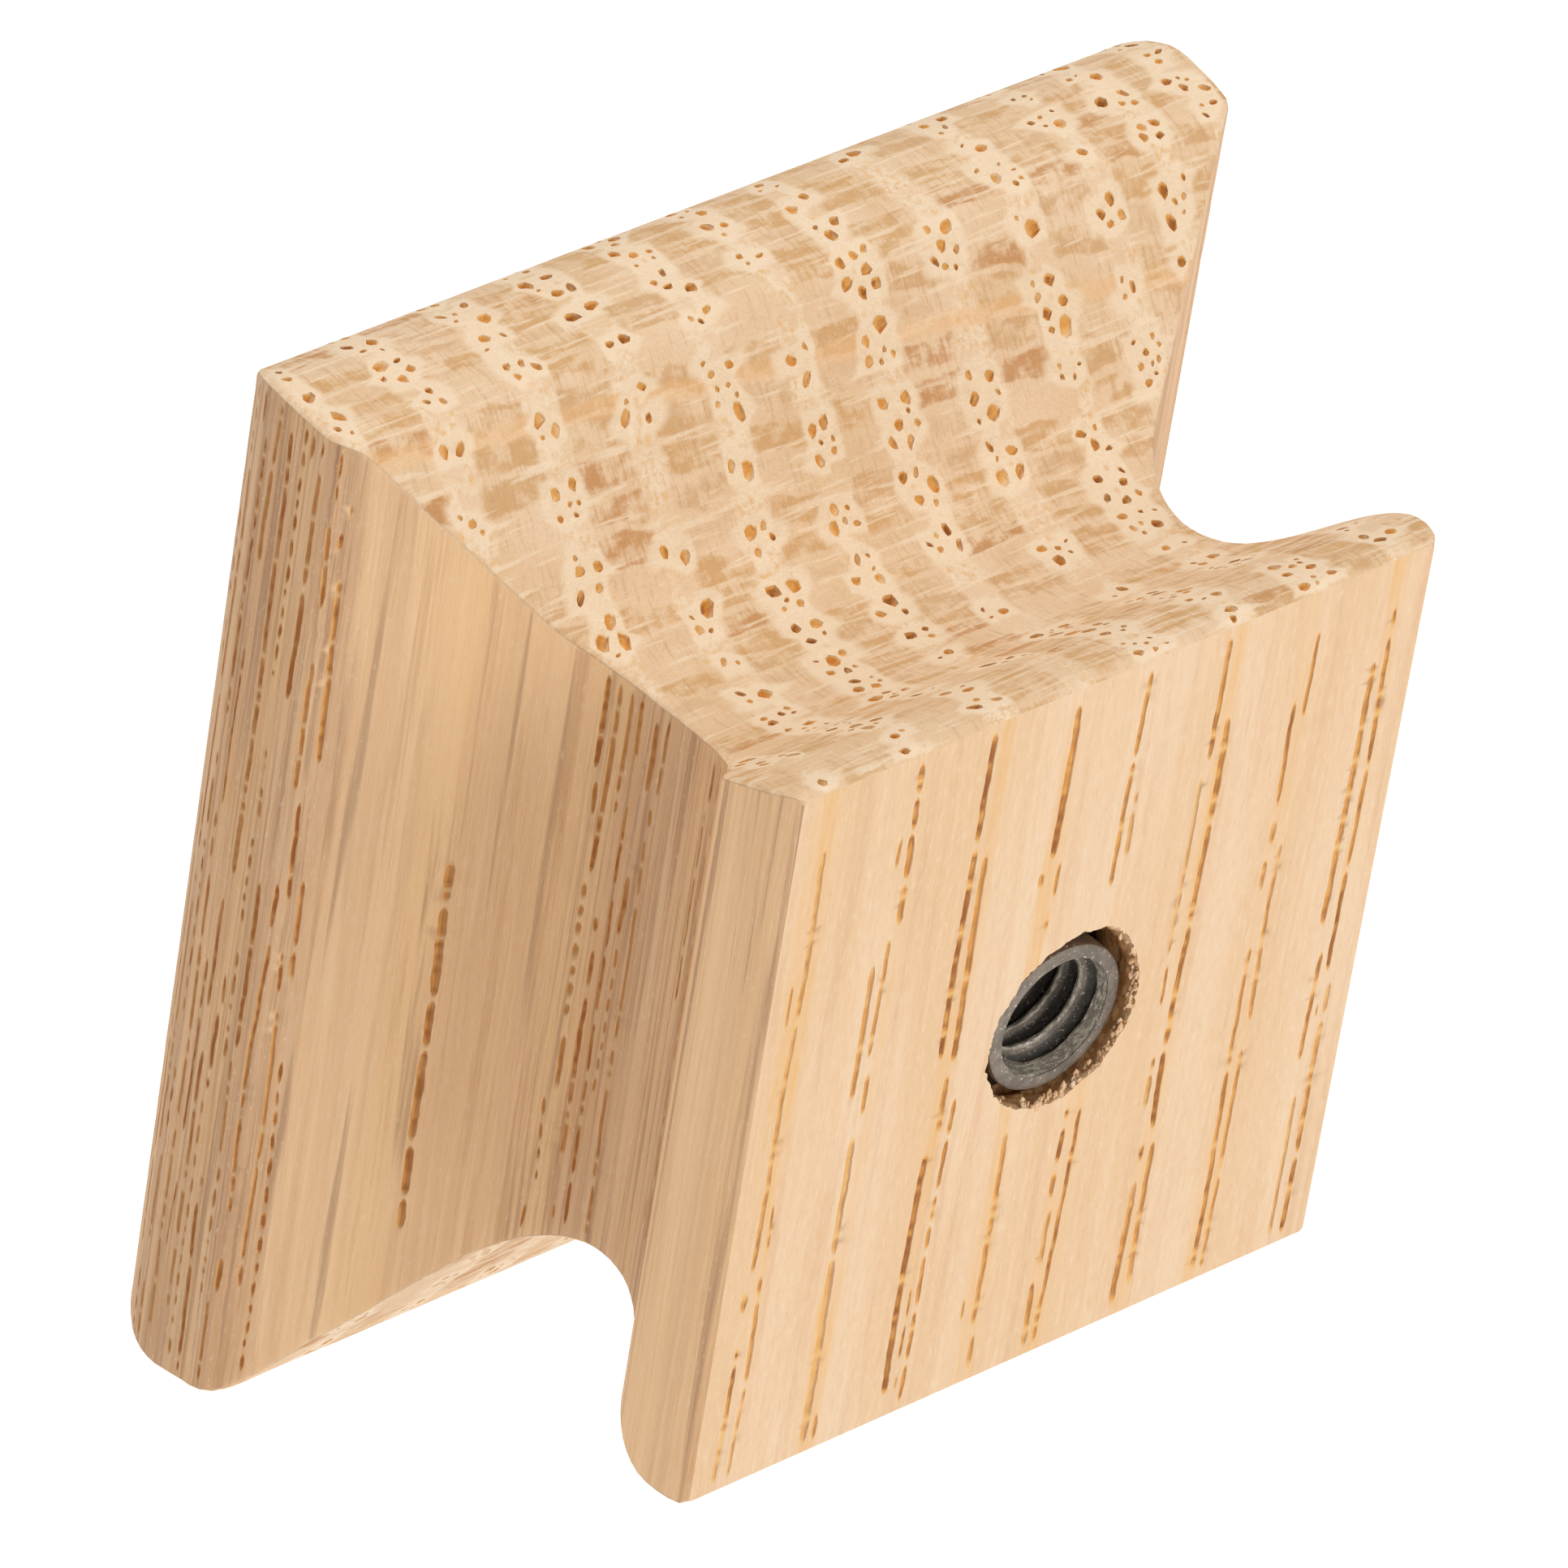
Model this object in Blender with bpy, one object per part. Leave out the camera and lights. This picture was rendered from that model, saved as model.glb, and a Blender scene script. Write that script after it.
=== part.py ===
"""Square oak furniture knob with a threaded steel insert.

The knob's axis runs along Y. Its small back face lies in the plane y = 0 and bears on the
drawer front or door; the large show face looks along -Y. The wood's grain runs along Z.
The origin is the centre of the back face, on the axis of the insert. Units are metres.
"""

import math

import bmesh
import bpy
from mathutils import Matrix, Vector

MM = 0.001

# --- Knob body -------------------------------------------------------------------------
DEPTH = 20.7 * MM              # back face to show face
EDGE_EASE = 0.2 * MM           # broken edge around the back face and along the mitred corners

# The side of the knob, as corner points (distance from the back face, half-width, corner
# radius). The cove is shaped in two passes, across the grain and along it, and the two
# passes differ a little.
END_GRAIN_SIDE = [             # the top and bottom faces
    (0.2 * MM, 12.85 * MM, 0.0),
    (1.95 * MM, 12.5 * MM, 4.4 * MM),
    (8.45 * MM, 7.5 * MM, 4.95 * MM),
    (15.1 * MM, 17.2 * MM, 1.0 * MM),
    (DEPTH, 17.95 * MM, 2.8 * MM),
    (DEPTH, 0.0, 0.0),
]
LONG_GRAIN_SIDE = [            # the left and right faces
    (0.2 * MM, 12.3 * MM, 0.0),
    (2.3 * MM, 13.5 * MM, 2.5 * MM),
    (7.35 * MM, 7.05 * MM, 4.2 * MM),
    (15.5 * MM, 17.2 * MM, 1.0 * MM),
    (DEPTH, 17.4 * MM, 3.1 * MM),
    (DEPTH, 0.0, 0.0),
]
DEGREES_PER_STEP = 8.0         # facet size on the side's round stretches

# --- Hole in the knob ------------------------------------------------------------------
HOLE_RADIUS = 2.95 * MM
HOLE_DEPTH = 13.0 * MM
DRILL_POINT_ANGLE = math.radians(118.0)

# --- Threaded insert -------------------------------------------------------------------
INSERT_RECESS = 0.3 * MM       # below the back face
INSERT_LENGTH = 9.0 * MM
INSERT_RADIUS = 2.5 * MM       # outside, between the turns of the wood thread
WOOD_THREAD_RADIUS = 3.3 * MM
WOOD_THREAD_PITCH = 2.0 * MM
WOOD_THREAD_ROOT = 0.75 * MM   # width of the ridge where it leaves the sleeve
WOOD_THREAD_CREST = 0.2 * MM
PLAIN_COLLAR = 0.9 * MM        # smooth stretch at each end of the sleeve
SCREW_MAJOR_RADIUS = 2.08 * MM # No. 8-32 machine screw
SCREW_MINOR_RADIUS = 1.7 * MM
SCREW_PITCH = 0.794 * MM
MOUTH_RADIUS = 2.03 * MM       # plain stretch above the screw thread, at the end face
MOUTH_DEPTH = 0.45 * MM
MOUTH_TAPER = 0.13 * MM        # how much narrower it is at its foot, where a bevel starts

FIT_GAP = 0.3 * MM             # between the insert and the wood around it
STEPS_PER_TURN = 24
THREAD_STAGGER = 0.4           # of a step: keeps a thread's edges off a turned solid's edges


def clear_scene():
    for obj in list(bpy.data.objects):
        bpy.data.objects.remove(obj, do_unlink=True)


def make_material(name, colour, roughness, metallic):
    material = bpy.data.materials.new(name)
    material.use_nodes = True
    shader = material.node_tree.nodes["Principled BSDF"]
    shader.inputs["Base Color"].default_value = (*colour, 1.0)
    shader.inputs["Roughness"].default_value = roughness
    shader.inputs["Metallic"].default_value = metallic
    return material


def add_object(name, bm):
    bmesh.ops.recalc_face_normals(bm, faces=bm.faces)
    mesh = bpy.data.meshes.new(name)
    bm.to_mesh(mesh)
    bm.free()
    obj = bpy.data.objects.new(name, mesh)
    bpy.context.collection.objects.link(obj)
    return obj


def hide_cutter(obj):
    obj.hide_render = True
    obj.display_type = "WIRE"


def cut(obj, cutter, operation="DIFFERENCE"):
    hide_cutter(cutter)
    modifier = obj.modifiers.new(cutter.name, "BOOLEAN")
    modifier.operation = operation
    modifier.solver = "EXACT"
    modifier.object = cutter


def rounded_outline(corners):
    """Points along straight lines through the corners, with each corner's radius as an arc."""
    points = [Vector(corners[0][:2])]
    for before, corner, after in zip(corners, corners[1:], corners[2:]):
        radius = corner[2]
        middle = Vector(corner[:2])
        to_before = (Vector(before[:2]) - middle).normalized()
        to_after = (Vector(after[:2]) - middle).normalized()
        half_angle = to_before.angle(to_after) / 2.0
        centre = middle + (to_before + to_after).normalized() * radius / math.sin(half_angle)
        start = middle + to_before * radius / math.tan(half_angle) - centre
        turn = start.angle_signed(middle + to_after * radius / math.tan(half_angle) - centre)
        steps = max(2, round(math.degrees(abs(turn)) / DEGREES_PER_STEP))
        for step in range(steps + 1):
            # angle_signed counts clockwise turns as positive
            points.append(centre + Matrix.Rotation(-turn * step / steps, 2) @ start)
    return points


def half_width(outline, distance):
    """Half-width of the outline at a distance from the back face."""
    for here, there in zip(outline, outline[1:]):
        if distance <= there.x:
            part = (distance - here.x) / max(there.x - here.x, 1e-9)
            return here.y + (there.y - here.y) * part
    return outline[-1].y


def add_section(bm, distance, half_x, half_z):
    """A rectangle across the knob's axis, with its four corners eased."""
    inner_x = half_x - EDGE_EASE
    inner_z = half_z - EDGE_EASE
    corners = [
        (half_x, -inner_z), (half_x, inner_z), (inner_x, half_z), (-inner_x, half_z),
        (-half_x, inner_z), (-half_x, -inner_z), (-inner_x, -half_z), (inner_x, -half_z),
    ]
    verts = [bm.verts.new((x, -distance, z)) for x, z in corners]
    return [bm.edges.new((a, b)) for a, b in zip(verts, verts[1:] + verts[:1])]


def build_knob_blank():
    across = rounded_outline(LONG_GRAIN_SIDE)
    along = rounded_outline(END_GRAIN_SIDE)
    distances = sorted({round(p.x, 7) for p in across + along if p.x < DEPTH})
    distances.append(DEPTH - 1e-7)
    bm = bmesh.new()
    back_x = across[0].y - EDGE_EASE
    back_z = along[0].y - EDGE_EASE
    sections = [add_section(bm, 0.0, back_x, back_z)]
    for distance in distances:
        half_x = half_width(across, distance)
        half_z = half_width(along, distance)
        sections.append(add_section(bm, distance, half_x, half_z))
    for here, there in zip(sections, sections[1:]):
        bmesh.ops.bridge_loops(bm, edges=here + there)
    bmesh.ops.contextual_create(bm, geom=sections[0])
    bmesh.ops.contextual_create(bm, geom=sections[-1])
    return add_object("knob_body", bm)


def build_turned(name, outline):
    """A solid turned about the Y axis from (y, radius) points that start and end on the axis."""
    bm = bmesh.new()
    verts = [bm.verts.new((radius, y, 0.0)) for y, radius in outline]
    edges = [bm.edges.new(pair) for pair in zip(verts, verts[1:])]
    bmesh.ops.spin(bm, geom=verts + edges, cent=(0, 0, 0), axis=(0, 1, 0),
                   angle=math.tau, steps=STEPS_PER_TURN, use_merge=True)
    bmesh.ops.remove_doubles(bm, verts=bm.verts, dist=1e-7)
    return add_object(name, bm)


def build_thread(name, y_low, y_high, pitch, root_radius, crest_radius, root_width, crest_width):
    """A solid screw about the Y axis, right-handed, cut square at both ends."""
    flank = (root_width - crest_width) / 2.0
    one_turn = [
        (0.0, root_radius), (flank, crest_radius), (flank + crest_width, crest_radius),
        (root_width, root_radius), (pitch, root_radius),
    ]
    bm = bmesh.new()
    start = y_low - (2.0 + THREAD_STAGGER / STEPS_PER_TURN) * pitch
    turns = math.ceil((y_high - start) / pitch) + 1
    stagger = Matrix.Rotation(math.tau * THREAD_STAGGER / STEPS_PER_TURN, 3, "Y")
    verts = [bm.verts.new(stagger @ Vector((radius, start + along, 0.0)))
             for along, radius in one_turn]
    edges = [bm.edges.new(pair) for pair in zip(verts, verts[1:])]
    bmesh.ops.spin(bm, geom=verts + edges, cent=(0, 0, 0), axis=(0, 1, 0),
                   dvec=(0, pitch / STEPS_PER_TURN, 0), angle=math.tau * turns,
                   steps=STEPS_PER_TURN * turns, use_merge=False)
    bmesh.ops.remove_doubles(bm, verts=bm.verts, dist=1e-6)
    for y, direction in ((y_low, -1.0), (y_high, 1.0)):
        everything = bm.verts[:] + bm.edges[:] + bm.faces[:]
        trim = bmesh.ops.bisect_plane(bm, geom=everything, plane_co=(0, y, 0),
                                      plane_no=(0, direction, 0), clear_outer=True)
        rim = [item for item in trim["geom_cut"] if isinstance(item, bmesh.types.BMEdge)]
        bmesh.ops.contextual_create(bm, geom=rim)
    return add_object(name, bm)


def build_hole_cutters():
    tip = HOLE_DEPTH + HOLE_RADIUS / math.tan(DRILL_POINT_ANGLE / 2.0)
    drill = build_turned("hole_cutter", [
        (-tip, 0.0), (-HOLE_DEPTH, HOLE_RADIUS), (1.0 * MM, HOLE_RADIUS), (1.0 * MM, 0.0),
    ])
    thread_end = INSERT_RECESS + INSERT_LENGTH - PLAIN_COLLAR + FIT_GAP
    groove = build_thread(
        "wood_groove_cutter", -thread_end, -(INSERT_RECESS + PLAIN_COLLAR - FIT_GAP),
        WOOD_THREAD_PITCH, HOLE_RADIUS - 0.05 * MM, WOOD_THREAD_RADIUS + FIT_GAP,
        WOOD_THREAD_ROOT + 2.0 * FIT_GAP, WOOD_THREAD_CREST + 2.0 * FIT_GAP)
    return drill, groove


def build_insert():
    top = -INSERT_RECESS
    bottom = top - INSERT_LENGTH
    sleeve = build_turned("threaded_insert", [
        (bottom, 0.0), (bottom, INSERT_RADIUS), (top, INSERT_RADIUS), (top, 0.0),
    ])
    ridge = build_thread(
        "wood_thread", bottom + PLAIN_COLLAR, top - PLAIN_COLLAR,
        WOOD_THREAD_PITCH, INSERT_RADIUS - 0.3 * MM, WOOD_THREAD_RADIUS,
        WOOD_THREAD_ROOT, WOOD_THREAD_CREST)
    tap = build_thread(
        "screw_tap", bottom - 1.0 * MM, top + 1.0 * MM,
        SCREW_PITCH, SCREW_MINOR_RADIUS, SCREW_MAJOR_RADIUS,
        SCREW_PITCH * 7.0 / 8.0, SCREW_PITCH / 8.0)
    foot_radius = MOUTH_RADIUS - MOUTH_TAPER
    mouth = build_turned("mouth_cutter", [
        (top - MOUTH_DEPTH - foot_radius, 0.0), (top - MOUTH_DEPTH, foot_radius),
        (top + MOUTH_DEPTH, MOUTH_RADIUS + MOUTH_TAPER), (top + MOUTH_DEPTH, 0.0),
    ])
    cut(sleeve, ridge, "UNION")
    cut(sleeve, tap)
    cut(sleeve, mouth)
    return sleeve


def shade_round(obj, angle_deg):
    obj.data.shade_smooth()
    obj.data.set_sharp_from_angle(angle=math.radians(angle_deg))


def main():
    clear_scene()
    oak = make_material("oak", (0.72, 0.52, 0.32), 0.62, 0.0)
    steel = make_material("steel", (0.30, 0.28, 0.26), 0.45, 1.0)

    knob = build_knob_blank()
    for cutter in build_hole_cutters():
        cut(knob, cutter)
    knob.data.materials.append(oak)
    shade_round(knob, 20.0)

    insert = build_insert()
    insert.data.materials.append(steel)
    shade_round(insert, 30.0)


main()
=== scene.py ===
"""Looks of the square oak knob: the coved oak block with its open grain, and the steel insert."""

import math
import random

import bmesh
import bpy
import numpy as np
from mathutils import Matrix, Vector, geometry, kdtree, noise


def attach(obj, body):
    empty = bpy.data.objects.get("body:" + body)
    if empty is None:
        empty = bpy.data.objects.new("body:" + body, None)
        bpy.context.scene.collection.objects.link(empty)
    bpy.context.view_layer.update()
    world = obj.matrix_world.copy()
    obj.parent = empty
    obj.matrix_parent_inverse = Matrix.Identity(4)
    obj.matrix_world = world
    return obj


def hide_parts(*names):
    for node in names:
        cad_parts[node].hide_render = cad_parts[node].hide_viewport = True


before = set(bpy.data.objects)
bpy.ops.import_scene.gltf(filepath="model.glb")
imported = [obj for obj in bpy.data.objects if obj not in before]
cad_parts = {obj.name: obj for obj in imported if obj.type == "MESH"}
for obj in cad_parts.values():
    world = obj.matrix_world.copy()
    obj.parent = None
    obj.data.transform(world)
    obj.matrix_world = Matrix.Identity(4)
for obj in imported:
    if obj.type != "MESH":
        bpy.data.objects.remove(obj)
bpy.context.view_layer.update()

MM = 0.001
RANDOM = random.Random(11)

# All lengths below are in millimetres.

# --- The tree: X runs across the growth rings, Y across the rays, Z along the fibres ----
# Where each year's band of large pores lies along X, at the show face end.
RING_LINES = [19.9, 17.1, 13.85, 10.35, 7.2, 4.0, 1.0,
              -1.8, -5.1, -8.3, -11.4, -13.8, -16.2, -19.0]
BOW_REACH = 18.0               # the rings bow over this much of the block's depth
BOW = (1.9, -1.3)              # square and plain terms of the bow
RING_SWAY = 0.2
RAY_SPACING = 1.3
RAY_TILT = 0.06                # the rays aren't quite square to the rings
RAY_DRIFT = 0.25
BAND_HALF_WIDTH = 0.52
BARE_RING = 2                  # the year that opened few vessels on the long grain sides
BARE_SHARE = 0.97

# --- Vessels cut across: round pits ----------------------------------------------------
PORE_RADIUS = 0.19
PORE_SIZES = (0.5, 0.7, 0.9, 1.0, 1.1, 1.25, 1.35)
PORE_TRIES = 60000
PORE_GAP = 0.015               # least wood between two pores
PIT_SIDES = 8
PIT_SQUASH = (0.55, 0.7, 0.8, 0.9, 1.0)
# how dark a pit is, which also deepens it and sets the strength of its painted shade
PIT_DARKNESS = (0.45, 0.65, 0.9, 1.15)
PIT_RINGS = (1.0, 0.84, 0.5)   # sizes of its rim, wall and floor
PIT_DEPTHS = (0.55, 1.0)       # of its wall and floor
PIT_RIM_OPEN = 0.12
MAX_STRETCH = 1.3              # where the face slants along the fibres

# --- Vessels cut lengthwise: rows of grooves --------------------------------------------
VESSEL_STEP = 0.12
SHORTEST_VESSEL = 0.5
SHORTEST_GROOVE = 0.35
GROOVE_STEP = 0.24
GROOVE_WALL = (0.76, 0.2, 0.85)    # its place, depth and openness, as shares
GROOVE_FLOOR_DEPTH = 0.34
GROOVE_RIM_OPEN = 0.08
GROOVE_LEAST_OPEN = 0.22
BAR_SHARE = 0.09               # how much of a groove's floor is a pale bar
BAR_SHADE = 0.25
LONG_SHARE = 0.75              # of the vessels; the rest are short
WIDE_SHARE = 0.03
WIDE_FACTOR = 1.6

# --- Surface of the block --------------------------------------------------------------
STEP_ALONG = 0.38              # between rows of vertices down the side
FILL_STEP = 0.62               # between vertices on the plain wood
CORNER_EASE = 0.17             # rounding of the arrises
CORNER_POINTS = 3
EDGE_MARGIN = 0.1              # no pore this close to an arris
CLEARANCE = 0.2                # no plain vertex this close to a pore
CELL = 0.06                    # side of the squares that mark where the pores are

# --- Hole and insert -------------------------------------------------------------------
HOLE_RADIUS = 2.95
HOLE_DEPTH = 13.0
HOLE_TIP = 14.8
HOLE_STEPS = 192
HOLE_CLEARANCE = 0.28          # no groove this close to the hole
TORN_DEPTH = 1.1
CRUMBS = 150
INSERT_TOP = -0.3
INSERT_BOTTOM = -9.3
INSERT_RADIUS = 2.5
INSERT_BEVEL = 0.12
INSERT_FOOT_RADIUS = 1.9       # of the bore at the inner end
MOUTH_RADIUS = 2.03            # plain stretch above the screw thread
MOUTH_DEPTH = 0.45
MOUTH_TAPER = 0.13
INSERT_STEPS = 96
WOOD_THREAD = {"pitch": 2.0, "root": 2.5, "crest": 3.3, "foot": 0.75, "flat": 0.2}
WOOD_THREAD_ENDS = (-8.4, -1.2)
SCREW_THREAD = {"pitch": 0.794, "root": 1.7, "crest": 2.08, "foot": 0.695, "flat": 0.1}
SCREW_CREST_GLINT_AND_WEAR = (1.72, 1.93)    # radii between which the crests' wear and painted highlight fade into the painted shade of the roots
GROOVE_GAP = 0.3               # between the wood thread and its groove in the oak


# ======================================================================================
# The block's side, read from the CAD body
# ======================================================================================
def cad_sections():
    """Rows (distance from the back face, half-width in X, half-width in Z) in millimetres."""
    rows = {}
    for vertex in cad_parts["knob_body"].data.vertices:
        x, y, z = (c / MM for c in vertex.co)
        if math.hypot(x, z) < 2.0 * HOLE_RADIUS:
            continue               # a vertex of the hole
        key = round(-y, 3)
        half_x, half_z = rows.get(key, (0.0, 0.0))
        rows[key] = (max(half_x, abs(x)), max(half_z, abs(z)))
    return np.array([(key, *rows[key]) for key in sorted(rows)])


def cut_corners(rows):
    """One round of corner cutting, which turns facets into a smooth curve."""
    near = rows[:-1] * 0.75 + rows[1:] * 0.25
    far = rows[:-1] * 0.25 + rows[1:] * 0.75
    mixed = np.empty((2 * len(near), rows.shape[1]))
    mixed[0::2] = near
    mixed[1::2] = far
    return np.vstack([rows[:1], mixed, rows[-1:]])


def smooth_sections():
    rows = cut_corners(cut_corners(cad_sections()))
    steps = np.linalg.norm(np.diff(rows, axis=0), axis=1)
    length = np.concatenate([[0.0], np.cumsum(steps)])
    stops = np.linspace(0.0, length[-1], math.ceil(length[-1] / STEP_ALONG) + 1)
    return np.column_stack([np.interp(stops, length, rows[:, i]) for i in range(3)])


SECTIONS = smooth_sections()


# ======================================================================================
# The wood's own coordinates
# ======================================================================================
def ring_and_ray(x, y, z):
    """Growth ring and ray numbers at a point in millimetres: whole numbers are the bands."""
    back = (y + BOW_REACH) / BOW_REACH
    bow = back * (BOW[0] * back + BOW[1])
    sway = RING_SWAY * noise.noise(Vector((x * 0.11, y * 0.17, z * 0.03)))
    across = x - bow + sway
    ring = float(np.interp(-across, [-line for line in RING_LINES], range(len(RING_LINES))))
    drift = RAY_DRIFT * noise.noise(Vector((x * 0.09, y * 0.2, z * 0.02 + 40.0)))
    ray = (y + RAY_TILT * x + drift) / RAY_SPACING
    return ring, ray


def band_distance(x, y, z):
    """Distance in millimetres from the middle of the nearest band of large pores."""
    ring, _ = ring_and_ray(x, y, z)
    nearest = min(max(round(ring), 1), len(RING_LINES) - 2)
    width = (RING_LINES[nearest - 1] - RING_LINES[nearest + 1]) / 2.0
    return abs(ring - round(ring)) * width


# ======================================================================================
# One face of the block as a flat plan that is triangulated, then bent into place
# ======================================================================================
class Plan:
    """Points (across, along), each with a depth below the surface and an openness.

    openness drives the colour: 0 is plain wood, about 1 the darkest part of a pore; in the end
    grain pits it also carries painted shade.
    """

    def __init__(self):
        self.points = []
        self.depths = []
        self.open = []
        self.links = []
        self.taken = set()
        self.outlines = []

    def add(self, point, depth=0.0, openness=0.0):
        self.points.append(Vector(point))
        self.depths.append(depth)
        self.open.append(openness)

    def link_from(self, first):
        """Links the points from number first to the last one, as an open line."""
        self.links += [(i, i + 1) for i in range(first, len(self.points) - 1)]

    def loop(self, points, depth=0.0, openness=0.0):
        first = len(self.points)
        for point in points:
            self.add(point, depth, openness)
        self.link_from(first)
        self.links.append((len(self.points) - 1, first))

    def cells(self, points, reach):
        """Small squares of the plan within reach of the points."""
        span = math.ceil(reach / CELL)
        found = set()
        for point in points:
            column, row = math.floor(point[0] / CELL), math.floor(point[1] / CELL)
            for i in range(-span, span + 1):
                for j in range(-span, span + 1):
                    if math.hypot(i, j) * CELL <= reach + CELL:
                        found.add((column + i, row + j))
        return found

    def claim(self, points, reach):
        """Takes the space around the points, unless another pore already has part of it."""
        wanted = self.cells(points, reach)
        if wanted & self.taken:
            return False
        self.taken |= wanted
        return True

    def fill(self, points):
        """Adds plain wood vertices, away from the pores."""
        tree = kdtree.KDTree(len(self.points))
        for index, point in enumerate(self.points):
            tree.insert((point.x, point.y, 0.0), index)
        tree.balance()
        for point in points:
            if tree.find((point[0], point[1], 0.0))[2] > CLEARANCE:
                self.add(point)

    def outline(self, points):
        """A loop that bounds the plan, outside or as a hole."""
        self.loop(points)
        self.outlines.append(np.array([tuple(p) for p in points]))

    def holds(self, places):
        """Which of the places are inside the outlines."""
        inside = np.zeros(len(places), dtype=bool)
        for loop in self.outlines:
            for (x0, y0), (x1, y1) in zip(loop, np.roll(loop, -1, axis=0)):
                if y0 != y1:
                    spans = (places[:, 1] < y0) != (places[:, 1] < y1)
                    reach = x0 + (places[:, 1] - y0) / (y1 - y0) * (x1 - x0)
                    inside ^= spans & (places[:, 0] < reach)
        return inside

    def triangles(self):
        """The triangles inside the outlines; the other ones are left out."""
        result = geometry.delaunay_2d_cdt(self.points, self.links, [], 0, 1e-7, False)
        if len(result[0]) < len(self.points):
            raise RuntimeError("two vertices of a plan fell together")
        for point in result[0][len(self.points):]:
            self.add(point)
        corners = np.array([tuple(p) for p in self.points])[np.array(result[2])]
        inside = self.holds(corners.mean(axis=1))
        return [t for t, good in zip(result[2], inside) if good]


def round_pore(plan, centre, radius, stretch, depth, turn):
    """A vessel cut across: a small pit, with painted shade darkening its half towards the angle
    turn.
    """
    rings = [[] for _ in PIT_RINGS]
    squash = RANDOM.choice(PIT_SQUASH)
    dark = RANDOM.choice(PIT_DARKNESS)
    depth *= 0.5 + 0.5 * dark
    lean = RANDOM.uniform(-1.2, 1.2)
    wobble = [RANDOM.uniform(0.72, 1.2) for _ in range(PIT_SIDES)]
    angles = [math.tau * (step + 0.5) / PIT_SIDES for step in range(PIT_SIDES)]
    for ring, scale in zip(rings, PIT_RINGS):
        for angle, swell in zip(angles, wobble):
            side = Vector((math.cos(angle), math.sin(angle) * squash))
            side.rotate(Matrix.Rotation(lean, 2))
            side *= scale * radius * swell
            ring.append((centre[0] + side.x, centre[1] + side.y * stretch))
    if not plan.claim([centre], radius * max(1.0, stretch * 0.85) + PORE_GAP / 2.0):
        return
    plan.loop(rings[0], 0.0, PIT_RIM_OPEN)
    for ring, share in zip(rings[1:], PIT_DEPTHS):
        first = len(plan.points)
        plan.loop(ring, depth * share)
        for step, angle in enumerate(angles):
            # painted shade: the wall and floor are painted darker on the half towards turn,
            # lighter on the other
            shade = 0.2 + dark * (0.2 + 0.45 * math.cos(angle - turn))
            plan.open[first + step] = max(0.16, shade)


def groove(plan, spot, start, length, width, tones):
    """Part of a vessel cut lengthwise: a narrow groove with blunt ends.

    tones are the openness of its two ends.
    """
    count = max(3, round(length / GROOVE_STEP))
    inset, wall_depth, wall_open = GROOVE_WALL
    walls = {-1.0: ([], []), 1.0: ([], [])}
    floor = []
    for step in range(count + 1):
        part = step / count
        run = start + length * part
        taper = min(1.0, 0.3 + 2.4 * length * min(part, 1.0 - part))
        inner = 0 < step < count
        for side, (rim, wall) in walls.items():
            reach = side * taper * RANDOM.uniform(0.84, 1.12) * width / 2.0
            rim.append(spot(run, reach))
            if inner:
                wall.append(spot(run, reach * inset))
        if inner:
            shade = BAR_SHADE if RANDOM.random() < BAR_SHARE else RANDOM.uniform(0.75, 1.2)
            tone = (tones[0] + (tones[1] - tones[0]) * part) * shade
            down = width * taper * min(shade, 1.0)
            floor.append((spot(run, RANDOM.uniform(-0.1, 0.1) * width), down, tone))
    plan.loop(walls[-1.0][0] + walls[1.0][0][::-1], 0.0, GROOVE_RIM_OPEN)
    for _, wall in walls.values():
        first = len(plan.points)
        for point, (_, down, tone) in zip(wall, floor):
            plan.add(point, wall_depth * down, max(GROOVE_LEAST_OPEN, wall_open * tone))
        plan.link_from(first)
    first = len(plan.points)
    for point, down, tone in floor:
        plan.add(point, GROOVE_FLOOR_DEPTH * down, max(GROOVE_LEAST_OPEN, tone))
    plan.link_from(first)


def vessel(plan, begin, length, width, along, whole, tones):
    """A vessel cut lengthwise: a row of grooves, each up to whole millimetres long.

    along is 0 where the fibres run along the plan's first axis, and 1 along its second.
    """
    phase = RANDOM.uniform(0.0, 100.0)
    lean = RANDOM.gauss(0.0, 0.006)

    def spot(run, aside=0.0):
        aside += lean * run + 0.16 * noise.noise(Vector((phase, run * 0.13, 0.0)))
        aside += 0.03 * noise.noise(Vector((phase, run * 1.1, 7.0)))
        return ((begin[0] + run, begin[1] + aside) if along == 0
                else (begin[0] + aside, begin[1] + run))

    cells = set()
    run = 0.0
    while run < length:
        new = plan.cells([spot(run)], width * 0.58 + 0.02)
        sides = np.array([spot(run, side * (width * 0.65 + 0.04)) for side in (-1.0, 1.0)])
        if new & plan.taken or not plan.holds(sides).all():
            break
        cells |= new
        run += VESSEL_STEP
    length = run - VESSEL_STEP
    if length < SHORTEST_VESSEL:
        return
    plan.taken |= cells
    start = 0.0
    while start < length - SHORTEST_GROOVE:
        piece = min(RANDOM.uniform(0.4, 1.0) * whole, length - start)
        if piece > SHORTEST_GROOVE:
            ends = [tones[0] + (tones[1] - tones[0]) * at / length
                    for at in (start, start + piece)]
            groove(plan, spot, start, piece, width * RANDOM.uniform(0.9, 1.1), ends)
        start += piece + RANDOM.uniform(0.05, 0.16)


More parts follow.
